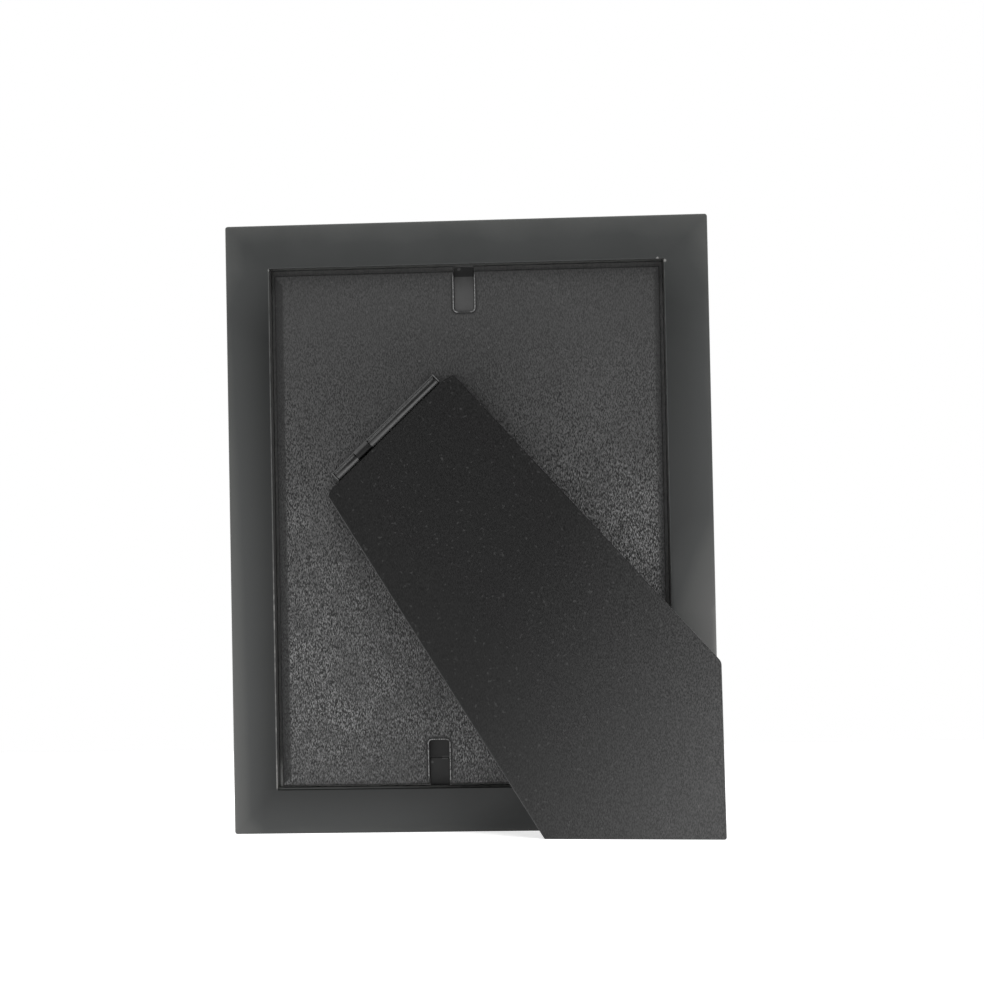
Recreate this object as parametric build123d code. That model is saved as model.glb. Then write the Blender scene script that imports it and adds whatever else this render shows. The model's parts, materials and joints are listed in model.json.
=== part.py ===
from build123d import *
import os
from math import asin, atan2, cos, degrees, hypot, radians, sin, tan

# Easel back photo frame standing on a table, in millimetres and degrees.
# Every piece is drawn in an upright frame first: X across, Y towards the back, Z up, with the back of the
# rails on Y = 0 and the bottom of the frame on Z = 0. The whole is then leaned back on its bottom edge until
# the foot of the easel leg meets the table, and set down with the origin at the middle of its footprint.

# Print and rebate
print_width = 152.0
print_height = 203.0
print_thickness = 0.25
rebate_side_room = 1.8      # from the print's edge to the rebate wall, left and right
rebate_end_room = 1.2       # the same at the top and the bottom

# Rails of the frame
rail_width = 17.4           # outside face to rebate wall, as seen from the back
frame_depth = 15.0
lip_reach = 5.0             # how far the front lip covers the glass
lip_thickness = 4.5
edge_radius = 1.1           # lacquered outside edges
rebate_arris = 0.4          # broken back edge of the rebate
sight_bevel = 1.0           # bevel round the front opening

# V nails that hold the mitres
nail_leg = 4.0
nail_sheet = 0.7
nail_height = 8.0
nail_sunk = 1.5             # filled over at the back
nail_edge = 3.0             # from a nail to the outside face, and to the rebate wall

# Sheets packed in the rebate, from the front to the back
glass_thickness = 2.0
glass_room = 0.8            # edge of the glass to the rebate wall
filler_thickness = 1.5
filler_room = 1.0
inner_ply_thickness = 1.5
inner_ply_room = 0.6
outer_ply_thickness = 2.0
cover_thickness = 0.2
board_side_gap = 1.6        # edge of the covered board to the rebate wall
board_top_gap = 2.4
board_bottom_gap = 0.9

# Bending tabs that hold the backing
tab_width = 7.6
tab_sheet = 0.6
tab_corner = 1.1
tab_rest_gap = 0.05         # under a tab that lies flat
tab_stand_off = 0.7         # rebate wall to the bend line
tab_bend_gap = 0.05
tab_notch_room = 0.35       # between a tab and the sides and end of its notch
top_tab_across = 0.9
top_tab_reach = 18.0        # rebate wall to the tip
top_tab_root = 8.0          # length held in the rail
bottom_tab_across = 14.1
bottom_tab_reach = 10.8
bottom_tab_root = 12.0
bottom_notch_reach = 18.3   # rebate wall to the end of the bottom notch

# Easel hinge
hinge_across = 32.3         # middle of the hinge, from the middle of the frame
hinge_up = 38.5
hinge_slant = 43.2          # hinge line to the bottom edge of the frame
hinge_length = 56.0         # over the end ears
backing_knuckle_start = 12.0    # from the lower end of the hinge
backing_knuckle_length = 6.8
knuckle_gap = 0.3
pin_radius = 1.05
pin_clearance = 0.05
hinge_sheet = 0.5
ear_corner = 0.9
barrel_gap = 0.35           # barrel and ears to the covered board
web_gap = 0.35              # barrel to the web that stands beside it
web_height = 0.9            # pin to the top of the web
slit_room = 0.1             # round the leaf where it passes the board
backing_leaf_reach = 9.0    # flange between the plies
leg_leaf_reach = 10.0       # flange under the leg
stop_gap = 0.03             # stop to the web at full opening
stop_height = 0.5

# Easel leg
leg_open = 16.0             # full opening, from the back of the frame
leg_board_thickness = 2.2
leg_paper = 0.2
leg_end_gap = 0.8           # barrel to the end of the leg
high_end_over = 1.1         # straight end edge of the leg past the upper end of the hinge
high_shoulder_run = 4.6     # width of the slanted corner there
high_shoulder_drop = 1.5    # height of the slanted corner there
low_end_over = 4.7          # the same three at the lower end of the hinge
low_shoulder_run = 2.5
low_shoulder_drop = 1.3
foot_side_inset = 0.0       # closed foot corner to the side of the frame
foot_bottom_inset = 4.0     # closed foot corner to the bottom of the frame
foot_edge = 64.2            # length of the foot edge along the table
side_edge = 61.5            # length of the foot edge along the side of the frame
leg_side_radius = 3.0       # rounding where the side edge meets the side of the leg
leg_corner_radius = 0.8

# Sizes worked out from the values above
rebate_width = print_width + 2 * rebate_side_room
rebate_height = print_height + 2 * rebate_end_room
outer_width = rebate_width + 2 * rail_width
outer_height = rebate_height + 2 * rail_width
middle_height = outer_height / 2
rebate_top = outer_height - rail_width
rebate_half = rebate_width / 2

# Faces of the packed sheets along Y
glass_front = lip_thickness - frame_depth
print_front = glass_front + glass_thickness
filler_front = print_front + print_thickness
inner_ply_front = filler_front + filler_thickness
outer_ply_front = inner_ply_front + inner_ply_thickness
cover_front = outer_ply_front + outer_ply_thickness
cover_face = cover_front + cover_thickness
tab_level = outer_ply_front + tab_rest_gap + tab_sheet / 2

# Hinge frame: X along the hinge, Y towards the foot of the leg, Z out of the back
bore_radius = pin_radius + pin_clearance
barrel_radius = bore_radius + hinge_sheet
pin_height = barrel_radius + barrel_gap
web_inside = -barrel_radius - web_gap
web_outside = web_inside - hinge_sheet
leaf_seat = -pin_height - cover_thickness - outer_ply_thickness
hinge_middle = (hinge_across, cover_face + pin_height, middle_height + hinge_up)
hinge_line = (cos(radians(hinge_slant)), 0, -sin(radians(hinge_slant)))
hinge_place = Location(Plane(hinge_middle, x_dir=hinge_line, z_dir=(0, 1, 0)))
leg_place = hinge_place * Rot(leg_open, 0, 0)
leg_inside = -leg_board_thickness / 2
leg_end = barrel_radius + leg_end_gap

overshoot = 1.0             # how far cutting tools pass the faces that they cut


def slab(x_low, x_high, y_low, y_high, z_low, z_high):
    """A box given by its six faces."""
    middle = Pos((x_low + x_high) / 2, (y_low + y_high) / 2, (z_low + z_high) / 2)
    return middle * Box(x_high - x_low, y_high - y_low, z_high - z_low)


def rebate_sheet(front, thickness, side_gap, top_gap, bottom_gap):
    """A flat sheet lying in the rebate, given by its gaps to the rebate walls."""
    half = rebate_half - side_gap
    return slab(-half, half, front, front + thickness, rail_width + bottom_gap, rebate_top - top_gap)


def frame_ring():
    """The four rails in one piece, with the rebate and the front opening cut out."""
    blank = slab(-outer_width / 2, outer_width / 2, -frame_depth, 0, 0, outer_height)
    ring = fillet(blank.edges(), edge_radius)
    ring -= slab(-rebate_half, rebate_half, glass_front, overshoot, rail_width, rebate_top)
    sight_half = rebate_half - lip_reach
    sight_bottom = rail_width + lip_reach
    sight_top = rebate_top - lip_reach
    ring -= slab(-sight_half, sight_half, -frame_depth - overshoot, 0, sight_bottom, sight_top)
    front_face = ring.faces().sort_by(Axis.Y)[0]
    ring = chamfer(front_face.inner_wires()[0].edges(), sight_bevel)
    back_face = ring.faces().sort_by(Axis.Y)[-1]
    return fillet(back_face.inner_wires()[0].edges(), rebate_arris)


def mitre_wedges():
    """The space of each rail, bounded by the four mitre planes."""
    reach = rail_width + lip_reach + overshoot
    half = outer_width / 2
    level = [(-half, 0), (half, 0), (half - reach, reach), (reach - half, reach)]
    upright = [(half, 0), (half, outer_height), (half - reach, outer_height - reach), (half - reach, reach)]
    outlines = {
        "bottom_rail": level,
        "top_rail": [(x, outer_height - z) for x, z in level],
        "right_rail": upright,
        "left_rail": [(-x, z) for x, z in upright],
    }
    behind = Plane.XZ.offset(-overshoot)
    wedges = {}
    for name, outline in outlines.items():
        face = make_face(Polyline(*outline, close=True))
        wedges[name] = extrude(behind * face, frame_depth + 2 * overshoot)
    return wedges


def v_nails():
    """Two V nails across each mitre, with a leg in either rail, sunk below the back of the frame."""
    back = -nail_sunk
    front = back - nail_height
    nails = []
    for inset in (nail_edge, rail_width - nail_edge - nail_leg):
        along = slab(inset, inset + nail_leg, front, back, inset, inset + nail_sheet)
        up = slab(inset, inset + nail_sheet, front, back, inset, inset + nail_leg)
        low_left = Pos(-outer_width / 2, 0, 0) * (along + up)
        low_right = mirror(low_left, Plane.YZ)
        nails += [low_left, low_right]
        mid_plane = Plane.XY.offset(middle_height)
        nails += [mirror(low_left, mid_plane), mirror(low_right, mid_plane)]
    return nails


def tab_place(across, at_top):
    """Frame of a bending tab: X along the bend, Y towards the tip, Z out of the back."""
    if at_top:
        return Location(Plane((across, tab_level, rebate_top - tab_stand_off), (1, 0, 0), (0, 1, 0)))
    return Location(Plane((across, tab_level, rail_width + tab_stand_off), (-1, 0, 0), (0, 1, 0)))


def tab_tongue(reach):
    """The part of a tab that bends: a flat strip with a round bend line and rounded tip corners."""
    tip = reach - tab_stand_off
    strip = slab(-tab_width / 2, tab_width / 2, 0, tip, -tab_sheet / 2, tab_sheet / 2)
    tip_corners = strip.edges().filter_by(Axis.Z).group_by(Axis.Y)[-1]
    strip = fillet(tip_corners, tab_corner)
    return strip + Rot(0, 90, 0) * Cylinder(tab_sheet / 2, tab_width)


def tab_root(length):
    """The part of a tab that is driven into the rail, ending just short of the bend line."""
    end = -tab_sheet / 2 - tab_bend_gap
    inside = -tab_stand_off - length
    return slab(-tab_width / 2, tab_width / 2, inside, end, -tab_sheet / 2, tab_sheet / 2)


def tab_notch(across, at_top, reach):
    """The notch that a tab lies in, cut through the covered board from its edge."""
    width = tab_width + 2 * tab_notch_room
    corner = tab_corner + tab_notch_room
    start = -tab_stand_off - corner
    end = reach - tab_stand_off
    outline = Pos(0, (start + end) / 2) * RectangleRounded(width, end - start, corner)
    deep = cover_face - outer_ply_front
    cutter = extrude(Pos(0, 0, outer_ply_front - tab_level) * outline, deep + overshoot)
    return tab_place(across, at_top) * cutter


def knuckle(x_low, x_high):
    """A length of rolled barrel, still without its bore."""
    middle = Pos((x_low + x_high) / 2, 0, 0)
    return middle * Rot(0, 90, 0) * Cylinder(barrel_radius, x_high - x_low)


def hinge_bore():
    """The hole through all knuckles."""
    return Rot(0, 90, 0) * Cylinder(bore_radius, hinge_length + 2 * overshoot)


def backing_leaf():
    """Flange between the plies, web through the board, an ear at each end and one knuckle of its own."""
    half = hinge_length / 2
    leaf = slab(-half, half, web_outside, web_inside, leaf_seat - hinge_sheet, web_height)
    flange_end = web_outside - backing_leaf_reach
    leaf += slab(-half, half, flange_end, web_inside, leaf_seat - hinge_sheet, leaf_seat)
    for x_low in (-half, half - hinge_sheet):
        ear = slab(x_low, x_low + hinge_sheet, web_outside, barrel_radius, -barrel_radius, barrel_radius)
        free_corners = ear.edges().filter_by(Axis.X).group_by(Axis.Y)[-1]
        leaf += fillet(free_corners, ear_corner)
    x_low, x_high = backing_knuckle_span()
    leaf += knuckle(x_low, x_high)
    leaf += slab(x_low, x_high, web_outside, web_inside, 0, barrel_radius)
    leaf += slab(x_low, x_high, web_outside, 0, bore_radius, barrel_radius)
    return leaf - hinge_bore()


def backing_knuckle_span():
    """The stretch of the hinge that the knuckle of the backing leaf takes up."""
    x_high = hinge_length / 2 - backing_knuckle_start
    return x_high - backing_knuckle_length, x_high


def backing_leaf_pocket():
    """The recess in the inner ply that takes the flange of the backing leaf."""
    half = hinge_length / 2 + slit_room
    start = web_outside - backing_leaf_reach - slit_room
    return slab(-half, half, start, web_inside + slit_room, leaf_seat - hinge_sheet, leaf_seat + overshoot)


def backing_leaf_slit():
    """The slit through the covered board for the web of the backing leaf."""
    half = hinge_length / 2 + slit_room
    start = web_outside - slit_room
    return slab(-half, half, start, web_inside + slit_room, leaf_seat - overshoot, 0)


def leg_leaf():
    """Two knuckles with a flange let into the leg, and stops that meet the web when the leg is open."""
    outside = leg_inside + hinge_sheet
    end = hinge_length / 2 - hinge_sheet - knuckle_gap
    leaf = slab(-end, end, leg_end, leg_end + leg_leaf_reach, leg_inside, outside)
    backing_low, backing_high = backing_knuckle_span()
    for x_low, x_high in ((-end, backing_low - knuckle_gap), (backing_high + knuckle_gap, end)):
        leaf += knuckle(x_low, x_high)
        leaf += slab(x_low, x_high, 0, leg_end, leg_inside, outside)
        stop = slab(x_low, x_high, web_inside + stop_gap, 0, 0, stop_height)
        leaf += Rot(-leg_open, 0, 0) * stop
    return leaf - hinge_bore()


def flat_to_hinge(x, z):
    """A point on the back of the upright frame, in the hinge frame of the closed leg."""
    across = x - hinge_middle[0]
    up = z - hinge_middle[2]
    slant = radians(hinge_slant)
    return (across * cos(slant) - up * sin(slant), -across * sin(slant) - up * cos(slant))


def foot_points():
    """The corner of the closed foot and the far ends of its side edge and its bottom edge.

    The bottom edge points at the place where the hinge line meets the bottom of the frame, so that it
    lies along the table when the leg swings open.
    """
    corner_x = foot_side_inset - outer_width / 2
    meeting_x = hinge_middle[0] + hinge_middle[2] / tan(radians(hinge_slant))
    run = hypot(meeting_x - corner_x, foot_bottom_inset)
    bottom_x = corner_x + foot_edge * (meeting_x - corner_x) / run
    bottom_z = foot_bottom_inset - foot_edge * foot_bottom_inset / run
    side_end = flat_to_hinge(corner_x, foot_bottom_inset + side_edge)
    return side_end, flat_to_hinge(corner_x, foot_bottom_inset), flat_to_hinge(bottom_x, bottom_z)


def leg_sheet(z_low, thickness):
    """A sheet with the outline of the leg, in the hinge frame."""
    side_end, corner, bottom_end = foot_points()
    low_end = hinge_length / 2 + low_end_over
    high_end = hinge_length / 2 + high_end_over
    points = [(low_end, leg_end), (low_end + low_shoulder_run, leg_end + low_shoulder_drop)]
    points += [bottom_end, corner, side_end]
    points += [(-high_end - high_shoulder_run, leg_end + high_shoulder_drop), (-high_end, leg_end)]
    radii = [leg_corner_radius] * len(points)
    radii[points.index(side_end)] = leg_side_radius
    outline = make_face(FilletPolyline(*points, radius=radii, close=True))
    return extrude(Pos(0, 0, z_low) * outline, thickness)


def leg_board():
    """Board of the leg, recessed inside for the flange of the hinge."""
    half = hinge_length / 2 - hinge_sheet - knuckle_gap + slit_room
    end = leg_end + leg_leaf_reach + slit_room
    pocket = slab(-half, half, leg_end - overshoot, end, leg_inside - overshoot, leg_inside + hinge_sheet)
    return leg_sheet(leg_inside, leg_board_thickness) - pocket


def frame_lean():
    """Lean at which the rounded bottom edge of the frame and the foot of the leg meet one table."""
    foot_x, foot_y = foot_points()[1]
    foot = (leg_place * Pos(foot_x, foot_y, leg_inside - leg_paper)).position
    behind = foot.Y + edge_radius
    above = foot.Z - edge_radius
    return degrees(atan2(above, behind) + asin(edge_radius / hypot(behind, above)))


# Frame
nails = v_nails()
ring = frame_ring()
pieces = {name: (ring & wedge) - nails for name, wedge in mitre_wedges().items()}
pieces["corner_v_nails"] = Compound(nails)

# Glass, print and backing
board_gaps = (board_side_gap, board_top_gap, board_bottom_gap)
pieces["glass_pane"] = rebate_sheet(glass_front, glass_thickness, *[glass_room] * 3)
print_gaps = (rebate_side_room, rebate_end_room, rebate_end_room)
pieces["photo_print"] = rebate_sheet(print_front, print_thickness, *print_gaps)
pieces["filler_card"] = rebate_sheet(filler_front, filler_thickness, *[filler_room] * 3)
inner_ply = rebate_sheet(inner_ply_front, inner_ply_thickness, *[inner_ply_room] * 3)
pieces["backing_inner_ply"] = inner_ply - hinge_place * backing_leaf_pocket()
outer_ply = rebate_sheet(outer_ply_front, outer_ply_thickness, *board_gaps)
cover = rebate_sheet(cover_front, cover_thickness, *board_gaps)
board_cuts = [
    tab_notch(top_tab_across, True, top_tab_reach + tab_notch_room),
    tab_notch(bottom_tab_across, False, bottom_notch_reach),
    hinge_place * backing_leaf_slit(),
]
pieces["backing_outer_ply"] = outer_ply - board_cuts
pieces["backing_cover_paper"] = cover - board_cuts

# Tabs
top_tab_place = tab_place(top_tab_across, True)
bottom_tab_place = tab_place(bottom_tab_across, False)
pieces["top_tab_root"] = top_tab_place * tab_root(top_tab_root)
pieces["top_tab_tongue"] = top_tab_place * tab_tongue(top_tab_reach)
pieces["bottom_tab_root"] = bottom_tab_place * tab_root(bottom_tab_root)
pieces["bottom_tab_tongue"] = bottom_tab_place * tab_tongue(bottom_tab_reach)
pieces["top_rail"] -= pieces["top_tab_root"]
pieces["bottom_rail"] -= pieces["bottom_tab_root"]

# Hinge and leg
pieces["hinge_backing_leaf"] = hinge_place * backing_leaf()
pieces["hinge_pin"] = hinge_place * Rot(0, 90, 0) * Cylinder(pin_radius, hinge_length)
pieces["hinge_leg_leaf"] = leg_place * leg_leaf()
pieces["leg_board"] = leg_place * leg_board()
pieces["leg_cover_paper"] = leg_place * leg_sheet(-leg_inside, leg_paper)
pieces["leg_lining_paper"] = leg_place * leg_sheet(leg_inside - leg_paper, leg_paper)

# Lean the frame back and set it down on the table
lean = Rot(-frame_lean(), 0, 0)
standing = {name: lean * piece for name, piece in pieces.items()}
footprint = Compound(list(standing.values())).bounding_box()
set_down = Pos(-footprint.center().X, -footprint.center().Y, -footprint.min.Z)

os.makedirs("parts", exist_ok=True)
for name, piece in standing.items():
    export_step(set_down * piece, f"parts/{name}.step")

# Joint axes and resting faces, in the standing frame
stand = set_down * lean
print("lean", round(frame_lean(), 3), "box", footprint.size)
axes = {"leg hinge": hinge_place, "top tab": top_tab_place, "bottom tab": bottom_tab_place}
for title, place in axes.items():
    print(title, (stand * place).position, "along", Plane(stand * place).x_dir)
rail_middle = -frame_depth / 2
faces = {"bottom face": (0, rail_middle, 0), "left face": (-outer_width / 2, rail_middle, middle_height)}
for title, point in faces.items():
    print(title, (stand * Pos(*point)).position)
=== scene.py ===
import json
import math

import bmesh
import bpy
from mathutils import Matrix, Vector


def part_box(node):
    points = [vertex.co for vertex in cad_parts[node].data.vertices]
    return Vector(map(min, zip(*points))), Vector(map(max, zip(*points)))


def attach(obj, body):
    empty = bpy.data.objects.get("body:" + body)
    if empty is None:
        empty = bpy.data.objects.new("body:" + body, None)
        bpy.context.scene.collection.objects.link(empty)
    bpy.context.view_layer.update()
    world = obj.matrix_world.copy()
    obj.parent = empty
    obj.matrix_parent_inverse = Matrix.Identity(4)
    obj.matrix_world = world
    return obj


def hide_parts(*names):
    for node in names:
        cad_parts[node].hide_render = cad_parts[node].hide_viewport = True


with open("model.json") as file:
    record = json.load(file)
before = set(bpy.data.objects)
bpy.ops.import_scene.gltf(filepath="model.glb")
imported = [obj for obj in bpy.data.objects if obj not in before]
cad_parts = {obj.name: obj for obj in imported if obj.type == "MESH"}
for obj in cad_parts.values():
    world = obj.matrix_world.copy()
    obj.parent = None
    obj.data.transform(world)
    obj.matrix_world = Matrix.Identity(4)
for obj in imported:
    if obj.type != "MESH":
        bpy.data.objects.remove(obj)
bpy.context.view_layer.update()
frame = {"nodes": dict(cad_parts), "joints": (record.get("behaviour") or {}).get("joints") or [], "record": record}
cad = frame["nodes"]

# Sizes in millimetres and degrees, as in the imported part
mm = 0.001
outer_width = (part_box("right_rail")[1].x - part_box("left_rail")[0].x) / mm
frame_depth = 15.0
rebate_half_width = 77.8
rebate_half_height = 102.7
rebate_arris = 0.4
rail_width = outer_width / 2 - rebate_half_width
rail_flat = rail_width - rebate_arris
tab_width = 7.6
tab_sheet = 0.6
tab_corner = 1.1
top_tab_length = 17.3
bottom_tab_length = 10.1
leg_open = 16.0
hinge_length = 56.0
hinge_sheet = 0.5

# Rounded edges that the meshes add, and how close two points count as one, in millimetres
tab_edge = 0.12
hinge_edge = 0.1
same_point = 0.001

# Camera, as the photograph was taken: the frame's place (millimetres) and turn (degrees) in its view
image_size = 984
focal_pixels = 1300
sensor_width = 36.0
frame_in_view = Vector((-8.54, -12.85, -510.03))
frame_turn = (-0.913, -2.055, 1.164)

# Photo axes: x to the right seen from behind, y up the frame, z out of its back, from the middle of the back
joints = {joint["name"]: joint for joint in frame["joints"]}
mounts = {mount["name"]: mount for mount in frame["record"]["mounts"]}
up = -Vector(mounts["portrait_base"]["axis"])
right = Vector(mounts["landscape_base"]["axis"])
out = right.cross(up)
middle = Vector(mounts["landscape_base"]["pos_m"]) + (out * frame_depth / 2 - right * outer_width / 2) * mm
outer_height = 2 * (middle - Vector(mounts["portrait_base"]["pos_m"])).dot(up) / mm
photo_axes = Matrix((right, up, out)).transposed().to_4x4()
photo_axes.translation = middle
to_photo_axes = photo_axes.inverted()


def joint_place(name):
    """Where a joint is, in millimetres along the photo axes."""
    return to_photo_axes @ Vector(joints[name]["pos_m"]) / mm


def set_camera():
    """Puts the camera where the photograph was taken from."""
    turn_x, turn_y, turn_z = (math.radians(angle) for angle in frame_turn)
    turn = Matrix.Rotation(turn_z, 4, "Z") @ Matrix.Rotation(turn_y, 4, "Y") @ Matrix.Rotation(turn_x, 4, "X")
    lens = bpy.data.cameras.new("camera")
    lens.sensor_width = sensor_width
    lens.lens = focal_pixels * sensor_width / image_size
    lens.clip_start = 0.01
    camera = bpy.data.objects.new("camera", lens)
    bpy.context.scene.collection.objects.link(camera)
    camera.matrix_world = photo_axes @ (Matrix.Translation(frame_in_view * mm) @ turn).inverted()
    bpy.context.scene.camera = camera


# Shader helpers

def new_material(name):
    """A material with one Principled shader; returns the material and its node tree."""
    material = bpy.data.materials.new(name)
    material.use_nodes = True
    return material, material.node_tree


def shader_of(tree):
    """The Principled shader of a node tree."""
    return next(node for node in tree.nodes if node.type == "BSDF_PRINCIPLED")


def set_inputs(node, **values):
    """Sets input sockets by name, with underscores for spaces."""
    for name, value in values.items():
        node.inputs[name.replace("_", " ")].default_value = value


def mapped(tree, vector, place=(0, 0, 0), turn=(0, 0, 0), size=(1, 1, 1)):
    """A vector that is sized, turned and moved."""
    node = tree.nodes.new("ShaderNodeMapping")
    set_inputs(node, Location=place, Rotation=turn, Scale=size)
    tree.links.new(vector, node.inputs["Vector"])
    return node.outputs["Vector"]


def frame_coords(tree):
    """Millimetres along the photo axes."""
    source = tree.nodes.new("ShaderNodeTexCoord").outputs["Object"]
    place = to_photo_axes.translation / mm
    return mapped(tree, source, place, to_photo_axes.to_euler(), [1 / mm] * 3)


def axes_of(tree, vector):
    """The three parts of a vector."""
    node = tree.nodes.new("ShaderNodeSeparateXYZ")
    tree.links.new(vector, node.inputs["Vector"])
    return node.outputs


def noise(tree, vector, scale, detail=2.0, roughness=0.5, distortion=0.0):
    """Noise with about `scale` lumps to the millimetre."""
    node = tree.nodes.new("ShaderNodeTexNoise")
    set_inputs(node, Scale=scale, Detail=detail, Roughness=roughness, Distortion=distortion)
    tree.links.new(vector, node.inputs["Vector"])
    return node.outputs["Fac"]


def point_mark(tree, name):
    """A number that the mesh carries at each of its points."""
    node = tree.nodes.new("ShaderNodeAttribute")
    node.attribute_name = name
    return node.outputs["Fac"]


def ramp(tree, value, *stops):
    """Turns a value into a colour through stops of (place, colour)."""
    node = tree.nodes.new("ShaderNodeValToRGB")
    node.color_ramp.elements.remove(node.color_ramp.elements[1])
    for index, (place, colour) in enumerate(stops):
        element = node.color_ramp.elements[0] if index == 0 else node.color_ramp.elements.new(place)
        element.position = place
        element.color = (*colour, 1.0)
    tree.links.new(value, node.inputs["Fac"])
    return node.outputs["Color"]


def grey(tone):
    """A neutral colour."""
    return (tone, tone, tone)


def spread(tree, value, low, high, from_low=0.3, from_high=0.7):
    """Maps a value from one range, by default that of noise, to another, and stops at its ends."""
    node = tree.nodes.new("ShaderNodeMapRange")
    places = {"From Min": from_low, "From Max": from_high, "To Min": low, "To Max": high}
    for name, place in places.items():
        node.inputs[name].default_value = place
    tree.links.new(value, node.inputs["Value"])
    return node.outputs["Result"]


def combine(tree, operation, first, second=0.0):
    """Math on two values, either of them a socket."""
    node = tree.nodes.new("ShaderNodeMath")
    node.operation = operation
    for socket, value in zip(node.inputs, (first, second)):
        if isinstance(value, bpy.types.NodeSocket):
            tree.links.new(value, socket)
        else:
            socket.default_value = value
    return node.outputs["Value"]


def band(tree, value, centre, half_width, soft):
    """One where a value lies close to a centre, falling to zero over a soft edge."""
    away = combine(tree, "ABSOLUTE", combine(tree, "SUBTRACT", value, centre))
    return spread(tree, away, 1.0, 0.0, half_width, half_width + soft)


def bump(tree, height, depth):
    """Bump of the given depth in millimetres."""
    node = tree.nodes.new("ShaderNodeBump")
    node.inputs["Distance"].default_value = depth * mm
    tree.links.new(height, node.inputs["Height"])
    return node.outputs["Normal"]


def finish_with(tree, colour, roughness, normal):
    """Links what varies over the surface to the Principled shader."""
    shader = shader_of(tree)
    for name, socket in {"Base Color": colour, "Roughness": roughness, "Normal": normal}.items():
        tree.links.new(socket, shader.inputs[name])


# Materials

def from_outside(tree, along):
    """How far a place is from the nearest outside edge of the frame."""
    from_side = combine(tree, "SUBTRACT", outer_width / 2, combine(tree, "ABSOLUTE", along["X"]))
    from_end = combine(tree, "SUBTRACT", outer_height / 2, combine(tree, "ABSOLUTE", along["Y"]))
    return combine(tree, "MINIMUM", from_side, from_end)


def arris_highlight_and_wear(tree, place, along):
    """Painted highlight, with some wear, along the back edge of the rebate: most of all low on the left."""
    line_half = 0.18
    right_share = 0.46
    from_middle = combine(tree, "ABSOLUTE", along["X"])
    line = band(tree, from_middle, rebate_half_width + rebate_arris / 2, line_half, line_half)
    for mask in (
        band(tree, along["Y"], 0.0, rebate_half_height - 0.5, 1.0),
        spread(tree, along["Z"], 0.0, 1.0, -0.5, -0.4),
        spread(tree, noise(tree, place, 0.25, 2.0), 0.7, 1.0),
    ):
        line = combine(tree, "MULTIPLY", line, mask)
    on_left = combine(tree, "LESS_THAN", along["X"], 0.0)
    left_glint_and_rub = combine(tree, "MULTIPLY", on_left, spread(tree, along["Y"], 0.93, 0.6, -50.0, 60.0))
    right_glint_and_rub = combine(tree, "MULTIPLY", combine(tree, "SUBTRACT", 1.0, on_left), right_share)
    return combine(tree, "MULTIPLY", line, combine(tree, "ADD", left_glint_and_rub, right_glint_and_rub))


def spots(tree, place, centres, strength):
    """A few small spots of wear, each given as (x, y, z, radius), with ragged edges."""
    ragged = 0.7
    soft_edge = 0.4
    wobble = combine(tree, "MULTIPLY", noise(tree, place, 1.3, 2.0), ragged)
    worn_and_glint = None
    for x, y, z, radius in centres:
        node = tree.nodes.new("ShaderNodeVectorMath")
        node.operation = "DISTANCE"
        node.inputs[1].default_value = (x, y, z)
        tree.links.new(place, node.inputs[0])
        away = combine(tree, "ADD", node.outputs["Value"], wobble)
        spot = spread(tree, away, strength, 0.0, radius, radius + soft_edge)
        worn_and_glint = combine(tree, "MAXIMUM", worn_and_glint, spot) if worn_and_glint else spot
    return worn_and_glint


def low_share(tree, along):
    """One at the bottom of the frame, falling to zero at its top."""
    return spread(tree, along["Y"], 1.0, 0.0, -outer_height / 2, outer_height / 2)


def painted_rail_light(tree, along, inward):
    """Painted light and sheen on the back of each rail: how much greyer the lacquer is made there."""
    from_left = combine(tree, "ADD", along["X"], outer_width / 2)
    past_right = combine(tree, "SUBTRACT", along["X"], rebate_half_width)
    past_bottom = combine(tree, "SUBTRACT", -rebate_half_height, along["Y"])
    on_top = spread(tree, along["Y"], 0.0, 1.0, 75.0, rebate_half_height)
    on_left = spread(tree, from_left, 0.34, 0.0, 0.2, 15.2)
    on_right = spread(tree, past_right, 0.0, 0.4, -0.2, 1.4)
    right_rim = spread(tree, past_right, 0.0, 0.11, -rebate_arris, rebate_arris)
    # Painted light along the top rail, low on the left rail, on the right rail by the leg over its shadow, along
    # the right rebate edge and on the bottom rail.
    painted_lifts = (
        combine(tree, "MULTIPLY", on_top, spread(tree, inward, 0.12, 0.3, 2.0, rail_flat)),
        combine(tree, "MULTIPLY", on_left, low_share(tree, along)),
        combine(tree, "MULTIPLY", on_right, spread(tree, along["Y"], 1.0, 0.0, -35.0, 8.0)),
        combine(tree, "MULTIPLY", right_rim, spread(tree, past_right, 1.0, 0.5, 1.2, 8.2)),
        spread(tree, past_bottom, 0.0, 0.07, -0.1, 0.3),
    )
    painted_light = 0.0
    for painted_lift in painted_lifts:
        painted_light = combine(tree, "MAXIMUM", painted_lift, painted_light)
    on_back = spread(tree, along["Z"], 0.0, 1.0, -6.0, -2.0)
    return combine(tree, "MULTIPLY", painted_light, on_back)


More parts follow.
